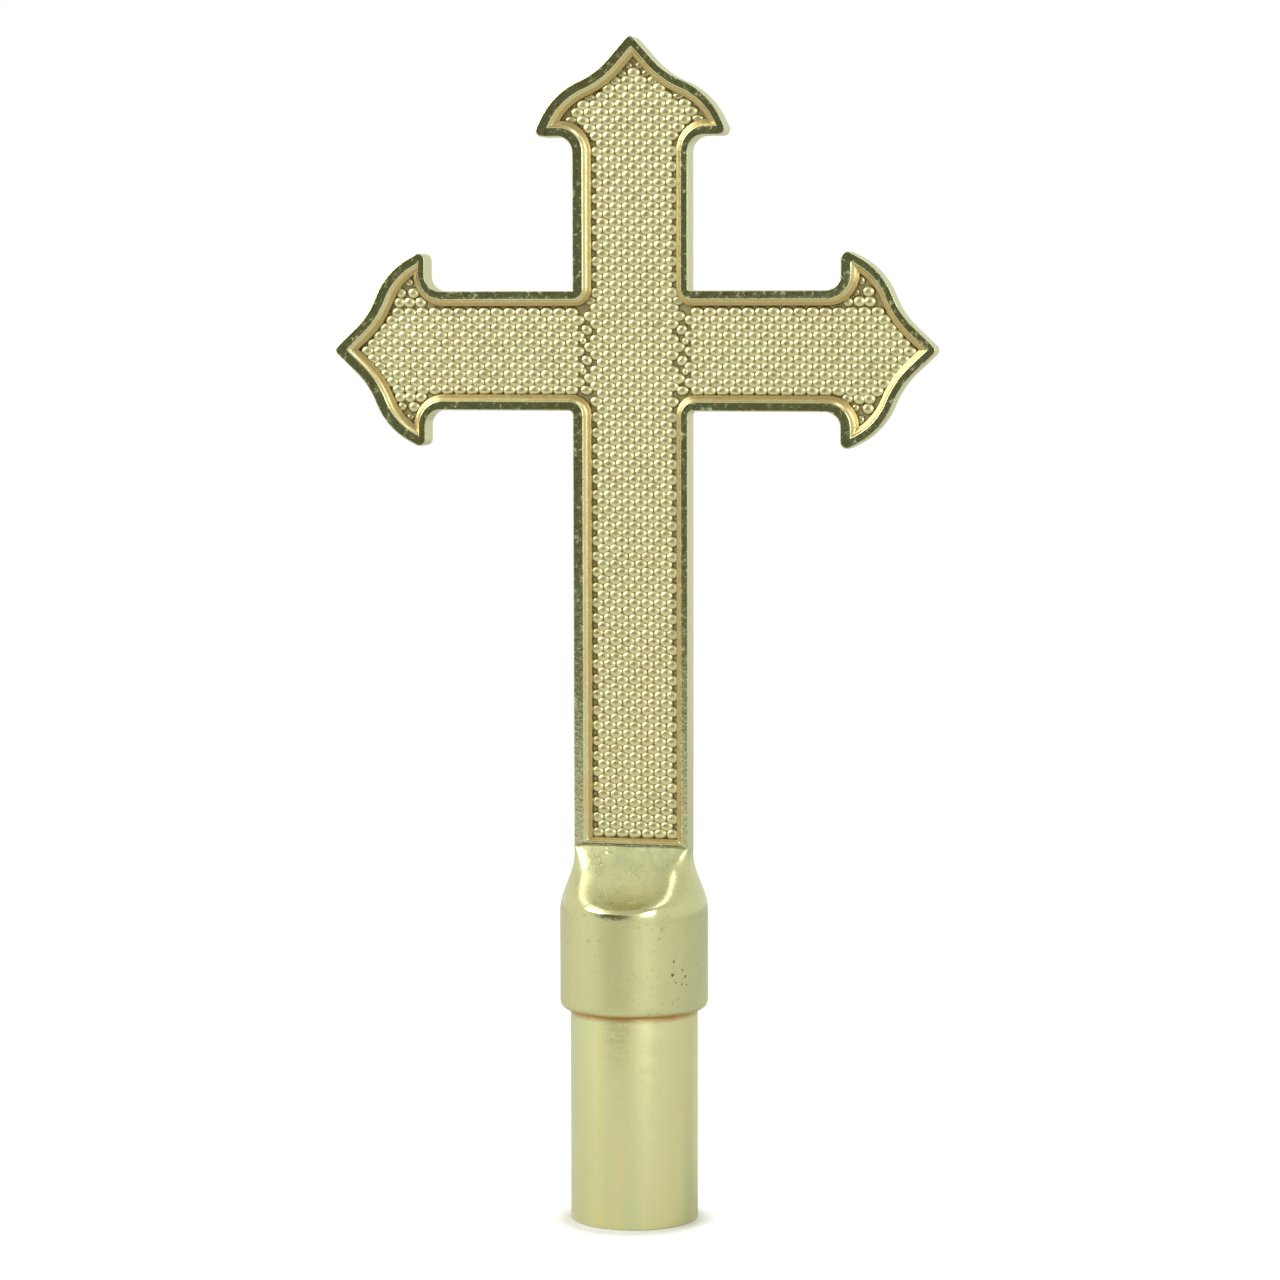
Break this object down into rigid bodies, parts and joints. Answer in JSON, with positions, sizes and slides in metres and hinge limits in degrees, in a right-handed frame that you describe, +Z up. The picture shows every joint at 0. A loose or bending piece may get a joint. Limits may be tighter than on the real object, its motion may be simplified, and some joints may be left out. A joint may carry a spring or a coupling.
{
  "type": "altar cross",
  "caption": "Flat brass cross with arrow-shaped ends, raised rims and beaded panels, on a scooped neck, a round collar and a tubular ferrule.",
  "frame": {"origin": "middle of the ferrule's lower end, on the surface the cross stands on", "axes": "+Z up along the ferrule and the upright, +X along the arms to the right seen from the front, -Y towards the front"},
  "size_m": [0.1206, 0.0296, 0.2338],
  "materials": {
    "cast_brass": "polished casting, tarnished in the recesses",
    "tube_brass": "satin drawn tube",
    "solder_grey": "dull",
    "zinc_steel": "zinc plated"
  },
  "bodies": {
    "root": {"cross_casting": "cast_brass", "ferrule_tube": "tube_brass", "ferrule_end_disc": "tube_brass", "end_disc_solder": "solder_grey", "fixing_screw": "zinc_steel", "lock_washer": "zinc_steel", "plain_washer": "zinc_steel"}
  },
  "joints": []
}
